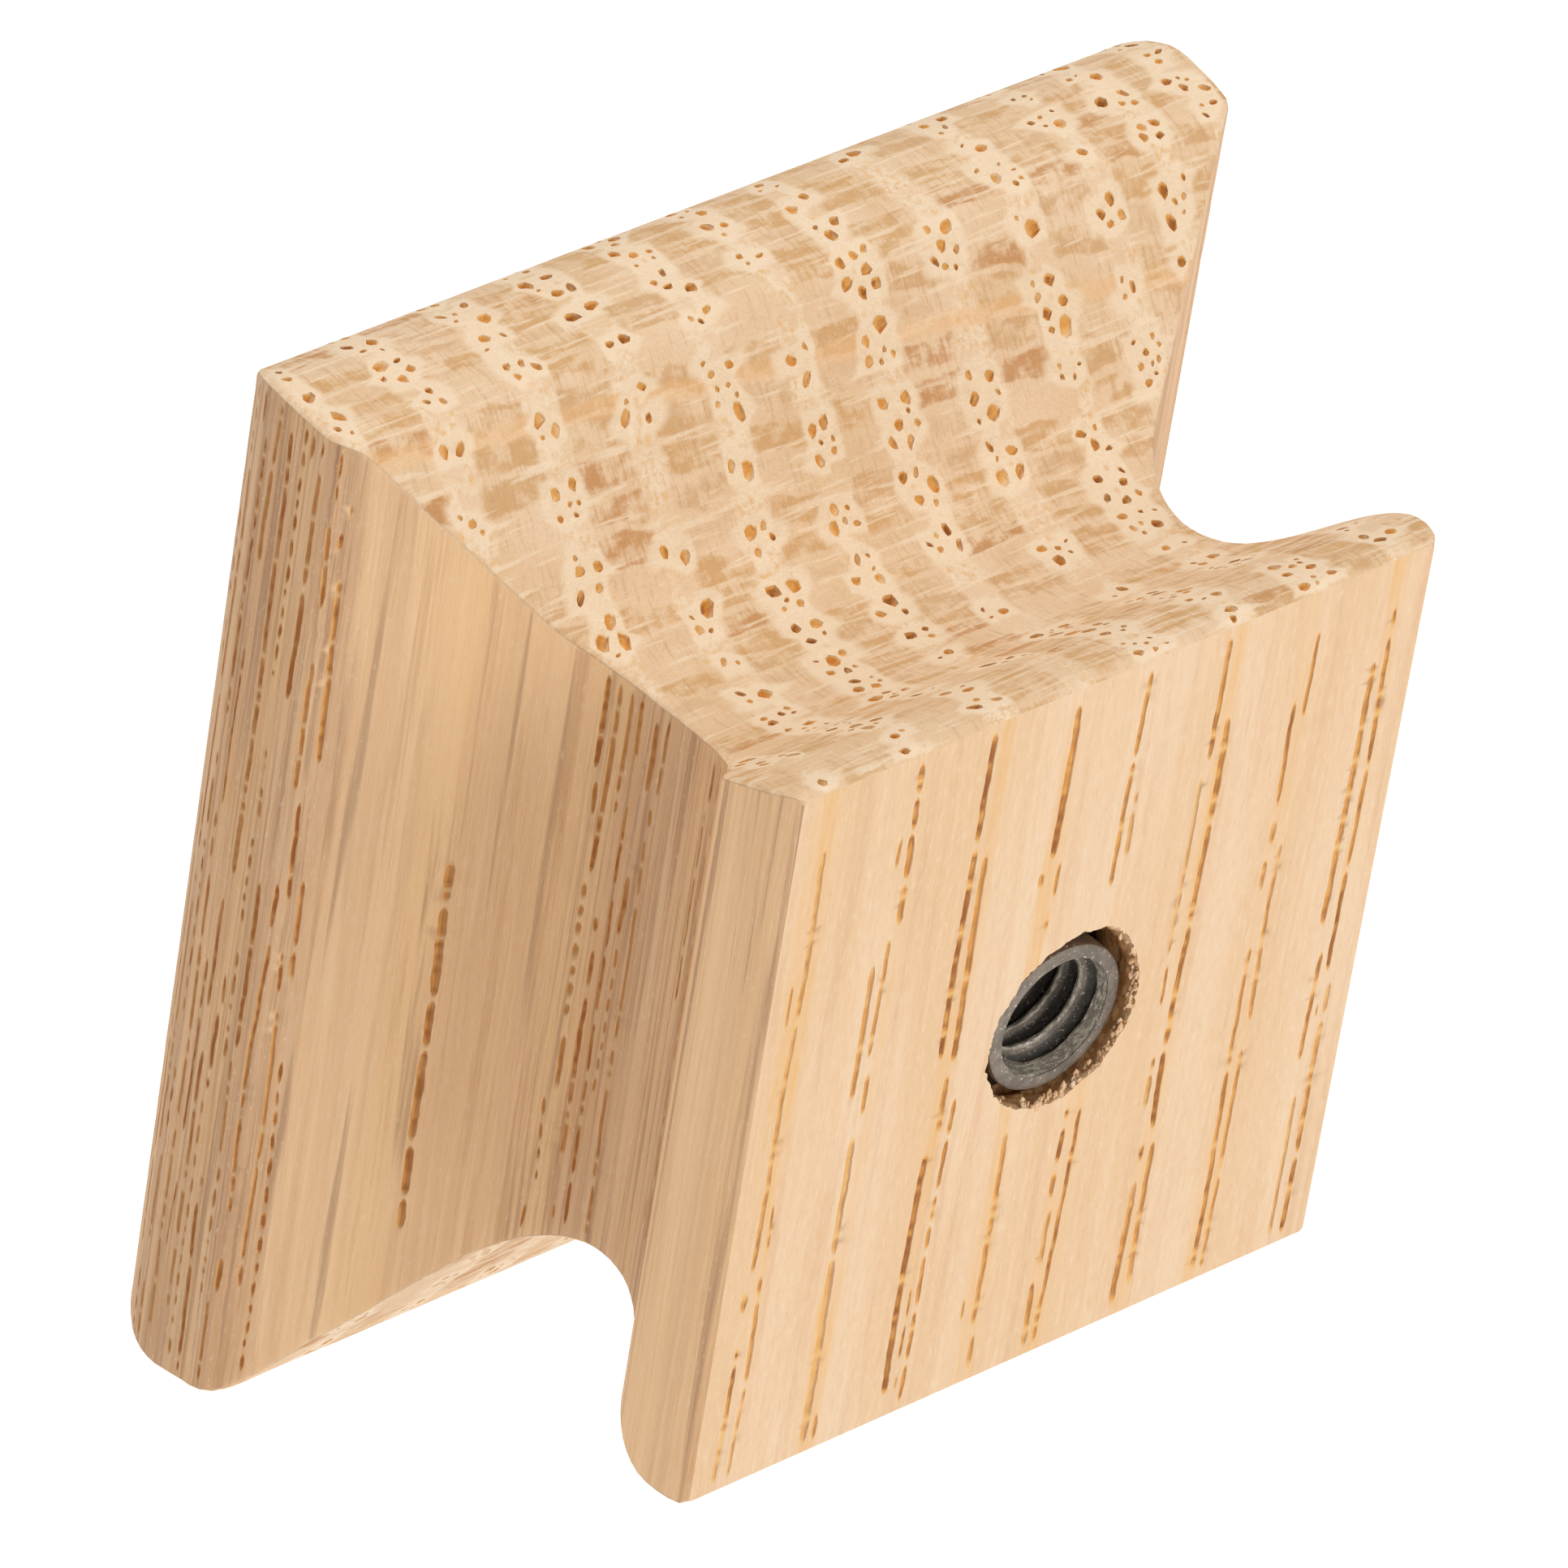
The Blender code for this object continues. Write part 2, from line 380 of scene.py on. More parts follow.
# ======================================================================================
# The oak block
# ======================================================================================
class Block:
    """Collects the vertices, triangles and wood data of the whole block."""

    def __init__(self):
        self.verts = []
        self.faces = []
        self.open = []
        self.torn = []

    def add_vertex(self, place, openness=0.0, torn=0.0):
        self.verts.append(place)
        self.open.append(openness)
        self.torn.append(torn)
        return len(self.verts) - 1

    def add_plan(self, plan, bend):
        """Bends a plan into place; bend gives a point's place, way out, and end grain."""
        triangles = plan.triangles()
        first = len(self.verts)
        for point, depth, openness in zip(plan.points, plan.depths, plan.open):
            place, outward, _ = bend(point)
            self.add_vertex(place - outward * depth, openness)
        self.faces += [[first + i for i in triangle] for triangle in triangles]

    def add_grid(self, rows, wrap):
        """Quads between rows of places; each row is closed into a ring where wrap is set."""
        index = [[self.add_vertex(place) for place in row] for row in rows]
        width = len(index[0])
        for here, there in zip(index, index[1:]):
            for i in range(width if wrap else width - 1):
                j = (i + 1) % width
                self.faces.append([here[i], here[j], there[j], there[i]])
        return index


def quarter_turn(k, across, y, out):
    """A place on side k, from its distance across the side, along Y, and out from the axis."""
    return Vector([(across, y, out), (out, y, -across),
                   (-across, y, -out), (-out, y, across)][k % 4])


def half_sizes(k, row):
    """Half-widths (across the side, out from the axis) of side k at a row of the sections."""
    _, half_x, half_z = row
    return (half_x, half_z) if k % 2 == 0 else (half_z, half_x)


def corner_ease(k, index):
    """Radius of arris k at a row of the sections; it wanders, as a hand-sanded edge does."""
    wander = noise.noise(Vector((index * 0.31, k * 9.1, 2.0)))
    wander += 0.6 * noise.noise(Vector((index * 1.3, k * 5.7, 8.0)))
    return CORNER_EASE * (1.0 + 0.45 * wander)


def side_lengths(k):
    """Distance down side k of every row of the sections."""
    out = SECTIONS[:, 2 if k % 2 == 0 else 1]
    steps = np.hypot(np.diff(SECTIONS[:, 0]), np.diff(out))
    return np.concatenate([[0.0], np.cumsum(steps)])


def end_row(k, index):
    """Points across side k at its first or last row."""
    half, _ = half_sizes(k, SECTIONS[index])
    low = -half + corner_ease((k - 1) % 4, index % len(SECTIONS))
    high = half - corner_ease(k, index % len(SECTIONS))
    return np.linspace(low, high, math.ceil((high - low) / FILL_STEP) + 1)


def side_boundary(k, lengths):
    last = len(SECTIONS) - 1
    points = [(across, 0.0) for across in end_row(k, 0)]
    for index in range(1, last):
        half, _ = half_sizes(k, SECTIONS[index])
        points.append((half - corner_ease(k, index), lengths[index]))
    points += [(across, lengths[-1]) for across in reversed(end_row(k, last))]
    for index in range(last - 1, 0, -1):
        half, _ = half_sizes(k, SECTIONS[index])
        points.append((-half + corner_ease((k - 1) % 4, index), lengths[index]))
    return points


def jittered(low_x, high_x, low_y, high_y, step_x, step_y):
    """Points on a shaken grid."""
    points = []
    for row in np.arange(low_y + step_y, high_y - step_y * 0.5, step_y):
        for column in np.arange(low_x, high_x, step_x):
            points.append((column + RANDOM.uniform(-0.25, 0.25) * step_x,
                           row + RANDOM.uniform(-0.2, 0.2) * step_y))
    return points


def build_side(block, k):
    lengths = side_lengths(k)
    out = SECTIONS[:, 2 if k % 2 == 0 else 1]
    slope_depth = np.gradient(SECTIONS[:, 0], lengths)
    slope_out = np.gradient(out, lengths)

    def limit(along):
        """Half the width of the face at a distance down it, without the arrises."""
        across = SECTIONS[:, 1 if k % 2 == 0 else 2]
        return np.interp(along, lengths, across) - CORNER_EASE

    def bend(point):
        along = point[1]
        y = -np.interp(along, lengths, SECTIONS[:, 0])
        place = quarter_turn(k, point[0], y, np.interp(along, lengths, out))
        normal_y = np.interp(along, lengths, slope_out)
        normal_out = np.interp(along, lengths, slope_depth)
        normal = quarter_turn(k, 0.0, normal_y, normal_out).normalized()
        end = abs(normal.z)
        fibre = Vector((0.0, 0.0, math.copysign(1.0, normal.z)))
        return place, fibre if end > 0.4 else normal, end

    plan = Plan()
    plan.outline(side_boundary(k, lengths))
    if k % 2 == 0:
        pores_across(plan, bend, lengths[-1], limit)
    else:
        pores_along(plan, bend, (0.0, lengths[-1]), limit, along=0, tries=1700,
                    tones=(0.55, 0.8, 0.95, 1.05), size=0.72, wholes=(1.0, 4.0, 9.0, 14.0))
    wide = float(max(SECTIONS[:, 1 if k % 2 == 0 else 2]))
    spots = jittered(-wide, wide, 0.0, lengths[-1], FILL_STEP, STEP_ALONG)
    plan.fill([p for p in spots if abs(p[0]) < limit(p[1]) - 0.15])
    block.add_plan(plan, bend)


def pores_across(plan, bend, length, limit):
    """Large pores on an end grain face, in groups between the rays along each ring's band."""
    for _ in range(PORE_TRIES):
        along = RANDOM.uniform(0.0, 1.0) * length
        radius = PORE_RADIUS * RANDOM.choice(PORE_SIZES)
        room = limit(along) - EDGE_MARGIN - radius
        across = RANDOM.uniform(-room, room)
        if not radius + EDGE_MARGIN < along < length - radius - EDGE_MARGIN:
            continue
        place, _, end = bend((across, along))
        ring, ray = ring_and_ray(*place)
        cell = Vector((round(ring) * 3.0 + 0.5, math.floor(ray) * 3.0 + 0.5, 0.5))
        group = abs(noise.cell(cell))
        if band_distance(*place) > BAND_HALF_WIDTH * (0.65 + 0.5 * group) or end < 0.3:
            continue
        if group < 0.1 or not 0.4 - 0.28 * group < ray % 1.0 < 0.6 + 0.26 * group:
            continue               # a bare cell, or outside the cell's group
        # the pits' painted shade falls on their half towards a quarter turn, down the side
        round_pore(plan, (across, along), radius, min(1.0 / end, MAX_STRETCH), radius,
                   math.pi / 2.0)


def pores_along(plan, bend, span, limit, along, tries, tones, size, wholes):
    """Vessels cut lengthwise on a face that runs along the fibres."""
    for number in range(tries):
        down = RANDOM.uniform(span[0] + EDGE_MARGIN, span[1] - EDGE_MARGIN)
        room = float(limit(down)) - EDGE_MARGIN
        long_one = number < tries * LONG_SHARE
        length = RANDOM.uniform(3.0, 17.0) if long_one else RANDOM.uniform(0.8, 3.5)
        start = RANDOM.uniform(-room - length * 0.5, room - length * 0.5)
        finish = min(start + length, room)
        start = max(start, -room)
        middle = ((start + finish) / 2.0, down) if along == 0 else (down, (start + finish) / 2.0)
        place, _, _ = bend(middle)
        if band_distance(*place) > BAND_HALF_WIDTH * RANDOM.uniform(0.2, 1.0):
            continue
        if round(ring_and_ray(*place)[0]) == BARE_RING and RANDOM.random() < BARE_SHARE:
            continue
        width = size * (RANDOM.uniform(0.16, 0.27) if long_one else RANDOM.uniform(0.1, 0.18))
        if RANDOM.random() < WIDE_SHARE:
            width *= WIDE_FACTOR
        begin = (start, down) if along == 0 else (down, start)
        vessel(plan, begin, finish - start, width, along, RANDOM.choice(wholes),
               (RANDOM.choice(tones), RANDOM.choice(tones)))


def build_corner(block, k):
    rows = []
    for index, row in enumerate(SECTIONS):
        across, out = half_sizes(k, row)
        ease = corner_ease(k, index)
        places = []
        for step in range(CORNER_POINTS + 1):
            angle = math.pi / 2.0 * step / CORNER_POINTS
            places.append(quarter_turn(k, across - ease * (1.0 - math.sin(angle)), -row[0],
                                       out - ease * (1.0 - math.cos(angle))))
        rows.append(places)
    block.add_grid(rows, wrap=False)


def cap_outline(index):
    """The block's outline (X, Z) at its first or last section."""
    points = []
    row = SECTIONS[index]
    number = index % len(SECTIONS)
    for k in range(4):
        across, out = half_sizes(k, row)
        ease = corner_ease(k, number)
        for value in end_row(k, index):
            place = quarter_turn(k, value, 0.0, out)
            points.append((place.x, place.z))
        for step in range(1, CORNER_POINTS):
            angle = math.pi / 2.0 * step / CORNER_POINTS
            place = quarter_turn(k, across - ease * (1.0 - math.sin(angle)), 0.0,
                                 out - ease * (1.0 - math.cos(angle)))
            points.append((place.x, place.z))
    return points


def hole_edge(angle):
    """Radius of the hole where it breaks the back face: torn, and longer along the grain."""
    around = Vector((math.cos(angle), math.sin(angle), 0.0))
    torn = 0.09 * noise.noise(around * 3.0) + 0.08 * noise.noise(around * 8.0)
    torn += 0.07 * noise.noise(around * 24.0)
    upper = max(0.0, math.sin(angle))
    corner = max(0.0, math.cos(angle - math.radians(118.0)))
    torn -= 0.12 * max(0.0, math.cos(angle))
    return HOLE_RADIUS + torn + 0.14 * upper ** 2 + 0.22 * corner ** 8


def build_cap(block, index, facing):
    """The flat back face (facing +1, with the insert's hole) or show face (facing -1)."""
    y = -float(SECTIONS[index][0])
    half_x, half_z = SECTIONS[index][1], SECTIONS[index][2]

    def bend(point):
        return Vector((point[0], y, point[1])), Vector((0.0, facing, 0.0)), 0.0

    def limit(_):
        return half_z - CORNER_EASE

    plan = Plan()
    plan.outline(cap_outline(index))
    hole = []
    if facing > 0:
        angles = [math.tau * i / HOLE_STEPS for i in range(HOLE_STEPS)]
        hole = [(hole_edge(a) * math.cos(a), hole_edge(a) * math.sin(a)) for a in angles]
        plan.outline(hole)
        for part in (0.35, 0.6, 0.85, 1.0):
            plan.taken |= plan.cells([(part * x, part * z) for x, z in hole], HOLE_CLEARANCE)
    inner = half_x - CORNER_EASE
    pores_along(plan, bend, (-inner, inner), limit, along=1, tries=2300,
                tones=(0.35, 0.55, 0.7, 0.95), size=1.0, wholes=(2.0, 6.0, 11.0, 16.0))
    spots = jittered(-half_x, half_x, -half_z, half_z, FILL_STEP, FILL_STEP)
    edge = 0.3
    plan.fill([p for p in spots if abs(p[0]) < half_x - edge and abs(p[1]) < half_z - edge])
    block.add_plan(plan, bend)
    return hole


def thread_height(thread, y, angle):
    """How far a thread stands between its root (0) and its crest (1) at a height and angle."""
    along = (y / thread["pitch"] - angle / math.tau) % 1.0 * thread["pitch"]
    flank = (thread["foot"] - thread["flat"]) / 2.0
    rise = min(along / flank, (thread["foot"] - along) / flank, 1.0)
    return max(0.0, rise)


def smooth_step(low, high, value):
    part = min(max((value - low) / (high - low), 0.0), 1.0)
    return part * part * (3.0 - 2.0 * part)


def build_hole(block, edge):
    """The hole's wall from its torn edge down past the insert to the drill point."""
    low, high = WOOD_THREAD_ENDS
    groove = dict(WOOD_THREAD, foot=WOOD_THREAD["foot"] + 2.0 * GROOVE_GAP,
                  flat=WOOD_THREAD["flat"] + 2.0 * GROOVE_GAP)
    deep = WOOD_THREAD["crest"] + GROOVE_GAP - HOLE_RADIUS
    heights = list(-np.arange(0.12, 1.0, 0.12)) + list(-np.arange(1.0, HOLE_DEPTH, 0.2))
    rows = [[Vector((x, 0.0, z)) for x, z in edge]]
    for y in heights:
        row = []
        torn = smooth_step(-TORN_DEPTH, 0.0, y)
        inside = smooth_step(high + GROOVE_GAP + 0.1, high - 0.1, y) * smooth_step(
            low - GROOVE_GAP - 0.1, low + 0.1, y)
        for step in range(HOLE_STEPS):
            angle = math.tau * step / HOLE_STEPS
            rough = noise.noise(Vector((math.cos(angle) * 9.0, y * 7.0, math.sin(angle) * 9.0)))
            radius = HOLE_RADIUS + torn * (0.75 * (hole_edge(angle) - HOLE_RADIUS) + 0.1 * rough)
            radius += inside * deep * thread_height(groove, y + GROOVE_GAP, -angle)
            row.append(Vector((radius * math.cos(angle), y, radius * math.sin(angle))))
        rows.append(row)
    rows.append([Vector((p.x * 0.02, -HOLE_TIP, p.z * 0.02)) for p in rows[-1]])
    index = block.add_grid(rows, wrap=True)
    block.faces.append(list(reversed(index[-1])))
    # the wall takes the torn wood's colour from its first rows below the edge down: darker torn
    # wood, partly painted shade inside the hole
    for depth, row in enumerate(index):
        for vertex in row:
            block.torn[vertex] = min(0.3 * depth, 1.0)


def build_crumbs(block):
    """Loose bits of torn wood on the hole's wall, most of them at its lower side."""
    for _ in range(CRUMBS):
        low_side, far_side = RANDOM.gauss(258.0, 26.0), RANDOM.gauss(185.0, 28.0)
        angle = math.radians(RANDOM.choice((low_side, far_side)))
        radius = hole_edge(angle) - RANDOM.uniform(-0.03, 0.16)
        down = RANDOM.uniform(0.0, 0.26)
        middle = Vector((radius * math.cos(angle), -down, radius * math.sin(angle)))
        size = RANDOM.uniform(0.03, 0.11)
        stretch = RANDOM.uniform(0.6, 2.2)
        ball = bmesh.new()
        bmesh.ops.create_icosphere(ball, subdivisions=1, radius=size)
        first = len(block.verts)
        for vertex in ball.verts:
            bent = vertex.co * RANDOM.uniform(0.55, 1.35)
            block.add_vertex(middle + Vector((bent.x, bent.y * 0.7, bent.z * stretch)),
                             0.0, RANDOM.choice((0.0, 0.15, 0.3)))
        block.faces += [[first + v.index for v in face.verts] for face in ball.faces]
        ball.free()


def build_oak():
    block = Block()
    for k in range(4):
        build_side(block, k)
        build_corner(block, k)
    edge = build_cap(block, 0, 1.0)
    build_cap(block, -1, -1.0)
    build_hole(block, edge)
    build_crumbs(block)

    mesh = bpy.data.meshes.new("oak_knob")
    mesh.from_pydata([v * MM for v in block.verts], [], block.faces)
    numbers = [ring_and_ray(*v) for v in block.verts]
    for name, values in (("pore", block.open), ("torn", block.torn),
                         ("ring", [n[0] for n in numbers]), ("ray", [n[1] for n in numbers])):
        attribute = mesh.attributes.new(name, "FLOAT", "POINT")
        attribute.data.foreach_set("value", np.array(values, dtype=np.float32))
    bm = bmesh.new()
    bm.from_mesh(mesh)
    bmesh.ops.remove_doubles(bm, verts=bm.verts, dist=2e-7)
    bmesh.ops.recalc_face_normals(bm, faces=bm.faces)
    bm.to_mesh(mesh)
    bm.free()
    mesh.shade_smooth()
    mesh.set_sharp_from_angle(angle=math.radians(42.0))
    oak = bpy.data.objects.new("oak_knob", mesh)
    bpy.context.collection.objects.link(oak)
    return oak


# ======================================================================================
# The steel insert
# ======================================================================================
def build_insert():
    """A sleeve made as one closed band: up the outside, over the end face, down the bore."""
    low, high = WOOD_THREAD_ENDS
    outline = []
    for y in np.arange(INSERT_BOTTOM + INSERT_BEVEL, INSERT_TOP - INSERT_BEVEL / 2, 0.12):
        outline.append(("outside", float(y), INSERT_RADIUS))
    outline += [("plain", INSERT_TOP - INSERT_BEVEL, INSERT_RADIUS),
                ("plain", INSERT_TOP - 0.03, INSERT_RADIUS - 0.03),
                ("plain", INSERT_TOP, INSERT_RADIUS - 0.1),
                ("face", INSERT_TOP, (INSERT_RADIUS + MOUTH_RADIUS) / 2.0),
                ("plain", INSERT_TOP, MOUTH_RADIUS)]
    for y in np.arange(INSERT_TOP - 0.05, INSERT_BOTTOM, -0.05):
        outline.append(("bore", float(y), SCREW_THREAD["root"]))
    outline += [("plain", INSERT_BOTTOM, INSERT_FOOT_RADIUS),
                ("plain", INSERT_BOTTOM, INSERT_RADIUS - INSERT_BEVEL)]

    bm = bmesh.new()
    wear_and_painted_light = bm.verts.layers.float.new("wear_and_painted_light")
    rings = []
    for kind, y, radius in outline:
        ring = []
        for step in range(INSERT_STEPS):
            angle = math.tau * step / INSERT_STEPS
            size = radius
            if kind == "outside":
                fade = smooth_step(high + 0.15, high - 0.35, y)
                fade *= smooth_step(low - 0.15, low + 0.35, y)
                rise = thread_height(WOOD_THREAD, y, -angle)
                size += fade * rise * (WOOD_THREAD["crest"] - WOOD_THREAD["root"])
            if kind == "bore":
                cut = thread_height(SCREW_THREAD, y, -angle)
                size += cut * (SCREW_THREAD["crest"] - SCREW_THREAD["root"])
                size += 0.05 * noise.noise(
                    Vector((math.cos(angle) * 2.4, y * 3.0, math.sin(angle) * 2.4)))
                down = INSERT_TOP - y
                plain = MOUTH_RADIUS - MOUTH_TAPER * down / MOUTH_DEPTH
                step_in = MOUTH_RADIUS - MOUTH_TAPER + MOUTH_DEPTH - down
                size = max(size, min(plain, step_in))
            size += 0.014 * noise.noise(Vector((math.cos(angle) * 6, y * 5, math.sin(angle) * 6)))
            vertex = bm.verts.new(Vector((size * math.cos(angle), y, size * math.sin(angle))) * MM)
            # this value sets the steel's colour: 0.6 is plain steel; the mouth's plain band, at
            # 0.95, is bare machined steel painted bright as a lit band reflecting the wood; down
            # the thread it runs from 1 on the crests, worn and painted with a highlight, to 0 in
            # the roots, painted with shade
            vertex[wear_and_painted_light] = 0.6
            if kind == "bore":
                vertex[wear_and_painted_light] = 0.95
                if y < INSERT_TOP - MOUTH_DEPTH:
                    vertex[wear_and_painted_light] = 1.0 - smooth_step(*SCREW_CREST_GLINT_AND_WEAR, size)
            ring.append(vertex)
        rings.append(ring)
    for here, there in zip(rings, rings[1:] + rings[:1]):
        for i in range(INSERT_STEPS):
            j = (i + 1) % INSERT_STEPS
            bm.faces.new((here[i], here[j], there[j], there[i]))
    bmesh.ops.recalc_face_normals(bm, faces=bm.faces)
    mesh = bpy.data.meshes.new("steel_insert")
    bm.to_mesh(mesh)
    bm.free()
    mesh.shade_smooth()
    mesh.set_sharp_from_angle(angle=math.radians(38.0))
    insert = bpy.data.objects.new("steel_insert", mesh)
    bpy.context.collection.objects.link(insert)
    return insert


# ======================================================================================
# Materials
# ======================================================================================
class Nodes:
    """A short way to write a material's nodes."""

    def __init__(self, name):
        self.material = bpy.data.materials.new(name)
        self.material.use_nodes = True
        self.tree = self.material.node_tree
        self.shader = self.tree.nodes["Principled BSDF"]

    def put(self, socket, value):
        if isinstance(value, bpy.types.NodeSocket):
            self.tree.links.new(value, socket)
        else:
            socket.default_value = value

    def node(self, kind, **settings):
        node = self.tree.nodes.new(kind)
        for key, value in settings.items():
            setattr(node, key, value)
        return node

    def math(self, operation, a, b=0.0):
        node = self.node("ShaderNodeMath", operation=operation)
        self.put(node.inputs[0], a)
        self.put(node.inputs[1], b)
        return node.outputs[0]

    def attribute(self, name):
        return self.node("ShaderNodeAttribute", attribute_name=name).outputs["Fac"]

    def place(self, scale):
        """Object coordinates in millimetres, times a scale for each axis."""
        where = self.node("ShaderNodeTexCoord").outputs["Object"]
        node = self.node("ShaderNodeVectorMath", operation="MULTIPLY")
        self.put(node.inputs[0], where)
        node.inputs[1].default_value = [s / MM for s in scale]
        return node.outputs[0]

    def noise(self, scale, detail=2.0, rough=0.5, distort=0.0):
        node = self.node("ShaderNodeTexNoise")
        self.put(node.inputs["Vector"], self.place(scale))
        node.inputs["Scale"].default_value = 1.0
        node.inputs["Detail"].default_value = detail
        node.inputs["Roughness"].default_value = rough
        node.inputs["Distortion"].default_value = distort
        return node.outputs["Fac"]

    def random_lines(self, layer, fineness, along):
        """Noise that is even within a layer of the wood and changes slowly along the fibres."""
        split = self.node("ShaderNodeSeparateXYZ")
        self.put(split.inputs[0], self.place((1.0, 1.0, 1.0)))
        sway = self.math("MULTIPLY", self.noise((0.12, 0.12, 0.07), 2.0, 0.5), 0.5)
        join = self.node("ShaderNodeCombineXYZ")
        self.put(join.inputs[0], self.math("MULTIPLY", self.math("ADD", layer, sway), fineness))
        self.put(join.inputs[1], self.math("MULTIPLY", split.outputs[1], 0.12))
        self.put(join.inputs[2], self.math("MULTIPLY", split.outputs[2], along))
        node = self.node("ShaderNodeTexNoise")
        self.put(node.inputs["Vector"], join.outputs[0])
        node.inputs["Scale"].default_value = 1.0
        node.inputs["Detail"].default_value = 3.0
        node.inputs["Roughness"].default_value = 0.6
        return node.outputs["Fac"]

    def between(self, value, low, high):
        """0 below low, 1 above high, smooth between; low may be the larger."""
        node = self.node("ShaderNodeMapRange", interpolation_type="SMOOTHSTEP")
        self.put(node.inputs["Value"], value)
        node.inputs["From Min"].default_value = low
        node.inputs["From Max"].default_value = high
        return node.outputs["Result"]

    def mix(self, share, a, b, blend="MIX"):
        node = self.node("ShaderNodeMix", data_type="RGBA", blend_type=blend)
        self.put(node.inputs[0], share)
        self.put(node.inputs[6], a if isinstance(a, bpy.types.NodeSocket) else (*a, 1.0))
        self.put(node.inputs[7], b if isinstance(b, bpy.types.NodeSocket) else (*b, 1.0))
        return node.outputs[2]

    def random_of(self, *parts):
        """A random number for each set of whole numbers."""
        join = self.node("ShaderNodeCombineXYZ")
        for socket, part in zip(join.inputs, parts):
            self.put(socket, part)
        white = self.node("ShaderNodeTexWhiteNoise", noise_dimensions="3D")
        self.put(white.inputs["Vector"], join.outputs[0])
        return white.outputs["Value"]

    def bump(self, height, distance, strength):
        node = self.node("ShaderNodeBump")
        node.inputs["Distance"].default_value = distance
        node.inputs["Strength"].default_value = strength
        self.put(node.inputs["Height"], height)
        return node.outputs["Normal"]


# plain wood, cut along the fibres
CREAM = (0.82, 0.60, 0.405)
HONEY = (0.77, 0.52, 0.305)
PALE = (0.88, 0.70, 0.505)
LIGHT_SPECK = (0.88, 0.70, 0.52)
TAN = (0.59, 0.35, 0.165)
MAUVE = (0.56, 0.35, 0.215)
SMUDGE = (0.70, 0.43, 0.245)
EARLY_WOOD = (0.79, 0.49, 0.235)
AMBER = (0.80, 0.47, 0.17)
# the two sides that show the rings edge on, which are darker and more streaked
SIDE_TINT = (0.97, 0.815, 0.655)
SIDE_BROWN = (0.57, 0.35, 0.195)
SIDE_HONEY = (0.88, 0.63, 0.34)
SIDE_MAUVE = (0.40, 0.25, 0.16)
STRAND_DARK = (0.56, 0.335, 0.165)
STRAND_LIGHT = (0.92, 0.71, 0.47)
LINE_DARK = (0.46, 0.235, 0.095)
GOLDEN = (0.90, 0.62, 0.365)
SHADOW = (0.34, 0.185, 0.105)
GLOW = (0.90, 0.65, 0.40)
BAND_TAN = (0.54, 0.36, 0.235)
BAND_DARK = (0.35, 0.195, 0.11)
# wood cut across the fibres
END_TAN = (0.76, 0.525, 0.315)
PATCH_COOL = (0.63, 0.385, 0.195)
PATCH_WARM = (0.64, 0.37, 0.155)
RUST = (0.55, 0.26, 0.09)
BROAD_RAY = (0.83, 0.50, 0.245)
# inside the pores and the torn hole; the pits' darker half and part of the hole wall's darkness
# are painted shade
ORANGE = (0.72, 0.31, 0.06)
ORANGE_LIGHT = (0.78, 0.39, 0.10)
BROWN = (0.36, 0.125, 0.025)
SIDE_PORE = (0.40, 0.19, 0.075)
SIDE_PORE_RIM = (0.58, 0.36, 0.20)
TORN_AND_SHADE_LIGHT = (0.78, 0.45, 0.20)
TORN_AND_SHADE_DARK = (0.50, 0.22, 0.075)
# steel, with painted shade in the thread's roots and painted highlight on its crests and mouth
# band
STEEL_LIGHT = (0.26, 0.212, 0.17)
STEEL_DARK = (0.17, 0.14, 0.112)
THREAD_ROOT_SHADE = (0.085, 0.076, 0.068)
WEAR_GLINT_DULL = (0.33, 0.29, 0.235)
WEAR_GLINT_BRIGHT = (0.66, 0.62, 0.52)
WOOD_DUST = (0.78, 0.70, 0.60)


